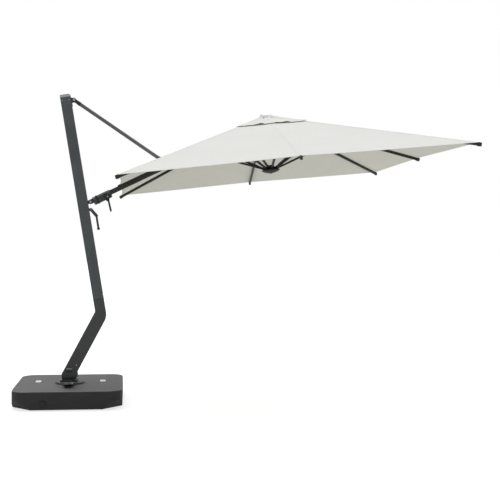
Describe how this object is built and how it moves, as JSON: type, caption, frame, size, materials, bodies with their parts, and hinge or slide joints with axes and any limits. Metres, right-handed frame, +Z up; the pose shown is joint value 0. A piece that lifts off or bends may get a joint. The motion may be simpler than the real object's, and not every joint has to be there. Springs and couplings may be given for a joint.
{
  "type": "cantilever patio umbrella with base",
  "caption": "Square cantilever patio umbrella: ballast tank base, bent mast on a turntable, sliding boom carriage, strut, crank and a folding ribbed canopy with a vent cap.",
  "frame": {"origin": "centre of the square base on the ground plane, below the mast's turning axis", "axes": "+X along the boom from the mast towards the canopy, +Y to the left of it, +Z up along the turntable's axis"},
  "size_m": [3.9458, 3, 2.9446],
  "materials": {
    "tank_plastic": "matte",
    "ballast": "matte",
    "foot_rubber": "matte",
    "steel_plate": "satin",
    "bearing_plastic": "satin",
    "lid_plastic": "satin",
    "dark_plastic": "satin",
    "mast_aluminium": "satin",
    "cast_aluminium": "satin",
    "cap_plastic": "satin",
    "bright_steel": "polished",
    "nylon": "satin",
    "rib_aluminium": "satin",
    "canopy_cloth": "matte"
  },
  "bodies": {
    "base": {"base_tank": "tank_plastic", "ballast_fill": "ballast", "base_feet": "foot_rubber", "anchor_plate": "steel_plate", "bearing_ring": "bearing_plastic"},
    "drain_plug": {"drain_plug": "dark_plastic"},
    "lid_left": {"filler_lid_left": "lid_plastic"},
    "lid_right": {"filler_lid_right": "lid_plastic"},
    "pedal": {"pedal": "steel_plate"},
    "mast": {"turntable": "steel_plate", "foot_socket": "cast_aluminium", "foot_bolts": "bright_steel", "mast_leg": "mast_aluminium", "mast_column": "mast_aluminium", "mast_cap": "cap_plastic", "top_bracket": "cast_aluminium", "top_pin": "bright_steel"},
    "carriage": {"carriage_block": "cast_aluminium", "carriage_glides": "nylon", "knuckle_pin": "bright_steel"},
    "handle": {"handle_lever": "cast_aluminium", "handle_ball": "dark_plastic"},
    "boom": {"boom_tube": "mast_aluminium", "boom_knuckle": "cast_aluminium", "winch_housing": "cast_aluminium", "strut_lug": "cast_aluminium", "strut_pin": "bright_steel", "crown_hub": "cast_aluminium", "crown_cap": "canopy_cloth", "vent_cap": "canopy_cloth"},
    "strut": {"strut_tube": "mast_aluminium", "strut_eyes": "cast_aluminium"},
    "crank": {"winch_drum": "bright_steel", "crank_arm": "steel_plate"},
    "crank_knob": {"crank_knob": "dark_plastic"},
    "runner": {"runner": "dark_plastic"},
    "rib_000": {"rib_000": "rib_aluminium", "petal_000": "canopy_cloth"},
    "stay_000": {"stay_000": "rib_aluminium"},
    "rib_045": {"rib_045": "rib_aluminium", "petal_045": "canopy_cloth"},
    "stay_045": {"stay_045": "rib_aluminium"},
    "rib_090": {"rib_090": "rib_aluminium", "petal_090": "canopy_cloth"},
    "stay_090": {"stay_090": "rib_aluminium"},
    "rib_135": {"rib_135": "rib_aluminium", "petal_135": "canopy_cloth"},
    "stay_135": {"stay_135": "rib_aluminium"},
    "rib_180": {"rib_180": "rib_aluminium", "petal_180": "canopy_cloth"},
    "stay_180": {"stay_180": "rib_aluminium"},
    "rib_225": {"rib_225": "rib_aluminium", "petal_225": "canopy_cloth"},
    "stay_225": {"stay_225": "rib_aluminium"},
    "rib_270": {"rib_270": "rib_aluminium", "petal_270": "canopy_cloth"},
    "stay_270": {"stay_270": "rib_aluminium"},
    "rib_315": {"rib_315": "rib_aluminium", "petal_315": "canopy_cloth"},
    "stay_315": {"stay_315": "rib_aluminium"}
  },
  "joints": [
    {"name": "drain_plug_turn", "type": "hinge", "parent": "base", "child": "drain_plug", "pos_m": [-0.212, -0.5025, 0.065], "axis": [0, -1, 0], "range_deg": [0, 360]},
    {"name": "lid_left_lift", "type": "hinge", "parent": "base", "child": "lid_left", "pos_m": [-0.31, 0.14, 0.175], "axis": [-1, 0, 0], "range_deg": [0, 100]},
    {"name": "lid_right_lift", "type": "hinge", "parent": "base", "child": "lid_right", "pos_m": [0.31, 0.14, 0.175], "axis": [-1, 0, 0], "range_deg": [0, 100]},
    {"name": "pedal_press", "type": "hinge", "parent": "base", "child": "pedal", "pos_m": [0, -0.161, 0.192], "axis": [1, 0, 0], "range_deg": [0, 7], "stiffness_Nm_per_rad": 40},
    {"name": "mast_swivel", "type": "hinge", "parent": "base", "child": "mast", "pos_m": [0, 0, 0.18], "axis": [0, 0, 1], "continuous": true},
    {"name": "carriage_slide", "type": "slide", "parent": "mast", "child": "carriage", "axis": [-0.1607, 0, 0.987], "range_m": [-0.32, 0.06]},
    {"name": "handle_squeeze", "type": "hinge", "parent": "carriage", "child": "handle", "pos_m": [0.19878, 0, 1.83764], "axis": [0, 1, 0], "range_deg": [0, 10], "stiffness_Nm_per_rad": 25},
    {"name": "boom_tilt", "type": "hinge", "parent": "carriage", "child": "boom", "pos_m": [0.195, 0, 1.911], "axis": [0, 1, 0], "range_deg": [-17.3, 3.4]},
    {"name": "strut_swing", "type": "hinge", "parent": "boom", "child": "strut", "pos_m": [0.90843, 0, 2.29751], "axis": [0, 1, 0], "range_deg": [-5, 25.6]},
    {"name": "canopy_fold", "type": "hinge", "parent": "boom", "child": "rib_000", "pos_m": [1.97436, 0, 2.72256], "axis": [0, 1, 0], "range_deg": [0, 62.8], "deforming": ["petal_000", "vent_cap"]},
    {"name": "stay_000_swing", "type": "hinge", "parent": "rib_000", "child": "stay_000", "pos_m": [2.63626, 0, 2.55012], "axis": [0, 1, 0], "range_deg": [-126.1, 0.3]},
    {"name": "runner_level", "type": "hinge", "parent": "stay_000", "child": "runner", "pos_m": [2.01942, 0, 2.25454], "axis": [0, 1, 0], "range_deg": [-0.2, 63.1]},
    {"name": "rib_045_fold", "type": "hinge", "parent": "boom", "child": "rib_045", "pos_m": [1.95189, 0.05303, 2.72669], "axis": [-0.7039, 0.7071, -0.0678], "range_deg": [-0.2, 69.2], "deforming": ["petal_045"]},
    {"name": "stay_045_swing", "type": "hinge", "parent": "rib_045", "child": "stay_045", "pos_m": [2.41859, 0.5054, 2.59954], "axis": [-0.7039, 0.7071, -0.0678], "range_deg": [-128.21, 0.3]},
    {"name": "rib_090_fold", "type": "hinge", "parent": "boom", "child": "rib_090", "pos_m": [1.8997, 0.075, 2.71538], "axis": [-0.9954, 0, -0.0958], "range_deg": [-0.2, 63.1], "deforming": ["petal_090"]},
    {"name": "stay_090_swing", "type": "hinge", "parent": "rib_090", "child": "stay_090", "pos_m": [1.92223, 0.71733, 2.48137], "axis": [-0.9954, 0, -0.0958], "range_deg": [-126.1, 0.3]},
    {"name": "rib_135_fold", "type": "hinge", "parent": "boom", "child": "rib_135", "pos_m": [1.84631, 0.05303, 2.71653], "axis": [-0.7039, -0.7071, -0.0678], "range_deg": [-0.2, 69.2], "deforming": ["petal_135"]},
    {"name": "stay_135_swing", "type": "hinge", "parent": "rib_135", "child": "stay_135", "pos_m": [1.41244, 0.5054, 2.50266], "axis": [-0.7039, -0.7071, -0.0678], "range_deg": [-128.21, 0.3]},
    {"name": "rib_180_fold", "type": "hinge", "parent": "boom", "child": "rib_180", "pos_m": [1.82505, 0, 2.70819], "axis": [0, -1, 0], "range_deg": [-0.2, 63.1], "deforming": ["petal_180"]},
    {"name": "stay_180_swing", "type": "hinge", "parent": "rib_180", "child": "stay_180", "pos_m": [1.20821, 0, 2.41261], "axis": [0, -1, 0], "range_deg": [-126.1, 0.3]},
    {"name": "rib_225_fold", "type": "hinge", "parent": "boom", "child": "rib_225", "pos_m": [1.84631, -0.05303, 2.71653], "axis": [0.7039, -0.7071, 0.0678], "range_deg": [-0.2, 69.2], "deforming": ["petal_225"]},
    {"name": "stay_225_swing", "type": "hinge", "parent": "rib_225", "child": "stay_225", "pos_m": [1.41244, -0.5054, 2.50266], "axis": [0.7039, -0.7071, 0.0678], "range_deg": [-128.21, 0.3]},
    {"name": "rib_270_fold", "type": "hinge", "parent": "boom", "child": "rib_270", "pos_m": [1.8997, -0.075, 2.71538], "axis": [0.9954, 0, 0.0958], "range_deg": [-0.2, 63.1], "deforming": ["petal_270"]},
    {"name": "stay_270_swing", "type": "hinge", "parent": "rib_270", "child": "stay_270", "pos_m": [1.92223, -0.71733, 2.48137], "axis": [0.9954, 0, 0.0958], "range_deg": [-126.1, 0.3]},
    {"name": "rib_315_fold", "type": "hinge", "parent": "boom", "child": "rib_315", "pos_m": [1.95189, -0.05303, 2.72669], "axis": [0.7039, 0.7071, 0.0678], "range_deg": [-0.2, 69.2], "deforming": ["petal_315"]},
    {"name": "stay_315_swing", "type": "hinge", "parent": "rib_315", "child": "stay_315", "pos_m": [2.41859, -0.5054, 2.59954], "axis": [0.7039, 0.7071, 0.0678], "range_deg": [-128.21, 0.3]},
    {"name": "crank_turn", "type": "hinge", "parent": "boom", "child": "crank", "pos_m": [0.35846, 0, 1.96049], "axis": [0, 1, 0], "continuous": true},
    {"name": "knob_spin", "type": "hinge", "parent": "crank", "child": "crank_knob", "pos_m": [0.39067, -0.06, 1.82425], "axis": [0, 1, 0], "continuous": true}
  ],
  "couplings": [
    {"joint": "boom_tilt", "follows": "carriage_slide", "rad_per_m": 0.936},
    {"joint": "strut_swing", "follows": "carriage_slide", "rad_per_m": -1.3774},
    {"joint": "stay_000_swing", "follows": "canopy_fold", "ratio": -2},
    {"joint": "runner_level", "follows": "canopy_fold", "ratio": 1},
    {"joint": "rib_045_fold", "follows": "canopy_fold", "ratio": 1.0972},
    {"joint": "stay_045_swing", "follows": "canopy_fold", "ratio": -2.0335},
    {"joint": "rib_090_fold", "follows": "canopy_fold", "ratio": 1},
    {"joint": "stay_090_swing", "follows": "canopy_fold", "ratio": -2},
    {"joint": "rib_135_fold", "follows": "canopy_fold", "ratio": 1.0972},
    {"joint": "stay_135_swing", "follows": "canopy_fold", "ratio": -2.0335},
    {"joint": "rib_180_fold", "follows": "canopy_fold", "ratio": 1},
    {"joint": "stay_180_swing", "follows": "canopy_fold", "ratio": -2},
    {"joint": "rib_225_fold", "follows": "canopy_fold", "ratio": 1.0972},
    {"joint": "stay_225_swing", "follows": "canopy_fold", "ratio": -2.0335},
    {"joint": "rib_270_fold", "follows": "canopy_fold", "ratio": 1},
    {"joint": "stay_270_swing", "follows": "canopy_fold", "ratio": -2},
    {"joint": "rib_315_fold", "follows": "canopy_fold", "ratio": 1.0972},
    {"joint": "stay_315_swing", "follows": "canopy_fold", "ratio": -2.0335},
    {"joint": "crank_turn", "follows": "canopy_fold", "ratio": 62.197}
  ]
}
